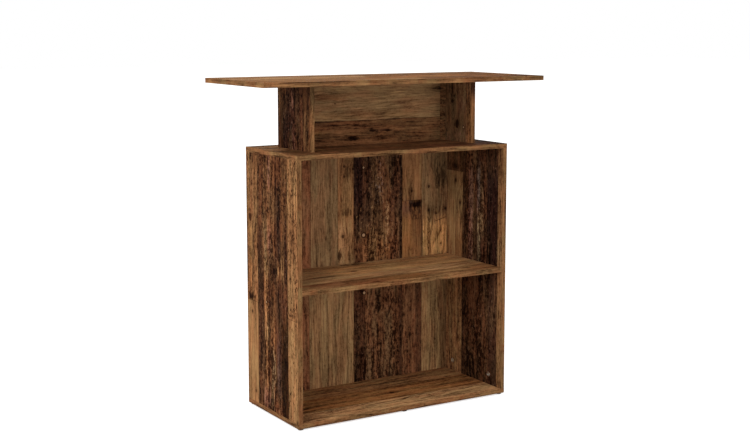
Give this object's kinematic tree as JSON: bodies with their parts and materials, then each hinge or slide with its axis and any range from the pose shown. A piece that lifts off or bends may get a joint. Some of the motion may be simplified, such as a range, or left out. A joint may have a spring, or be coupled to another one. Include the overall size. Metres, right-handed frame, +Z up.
{
  "type": "reception desk",
  "caption": "Standing reception desk: open two-bay cabinet with a fixed shelf, a narrower riser with a niche, and a wide overhanging desk top, in old-wood decor boards.",
  "frame": {"origin": "on the floor, under the middle of the desk top", "axes": "+Z up, the open front faces -Y, +X to the right as seen from the front"},
  "size_m": [1, 0.4, 1.04],
  "materials": {
    "board": "matt decor film printed as reclaimed wood on particle board",
    "edging": "matt decor edging in the lighter planks of the same print",
    "zinc": "bright die-cast zinc",
    "steel": "zinc-plated steel",
    "dowel": "raw beech",
    "foot_plastic": "moulded black plastic"
  },
  "bodies": {
    "root": {"desk_top": "board", "desk_top_edging": "edging", "riser_left": "board", "riser_left_edging": "edging", "riser_right": "board", "riser_right_edging": "edging", "riser_back": "board", "cabinet_top": "board", "cabinet_top_edging": "edging", "side_left": "board", "side_left_edging": "edging", "side_right": "board", "side_right_edging": "edging", "shelf": "board", "shelf_edging": "edging", "cabinet_bottom": "board", "cabinet_bottom_edging": "edging", "back_panel": "board", "foot_front_left": "foot_plastic", "foot_front_middle": "foot_plastic", "foot_front_right": "foot_plastic", "foot_rear_left": "foot_plastic", "foot_rear_middle": "foot_plastic", "foot_rear_right": "foot_plastic", "foot_nails": "steel", "side_cams": "zinc", "shelf_cams": "zinc", "back_panel_cams": "zinc", "riser_cams": "zinc", "riser_back_cams": "zinc", "side_cam_bolts": "steel", "shelf_cam_bolts": "steel", "back_panel_cam_bolts": "steel", "riser_cam_bolts": "steel", "riser_back_cam_bolts": "steel", "bottom_dowels": "dowel", "top_dowels": "dowel", "shelf_dowels": "dowel", "back_panel_dowels": "dowel", "riser_foot_dowels": "dowel", "riser_head_dowels": "dowel", "riser_back_dowels": "dowel"}
  },
  "joints": []
}
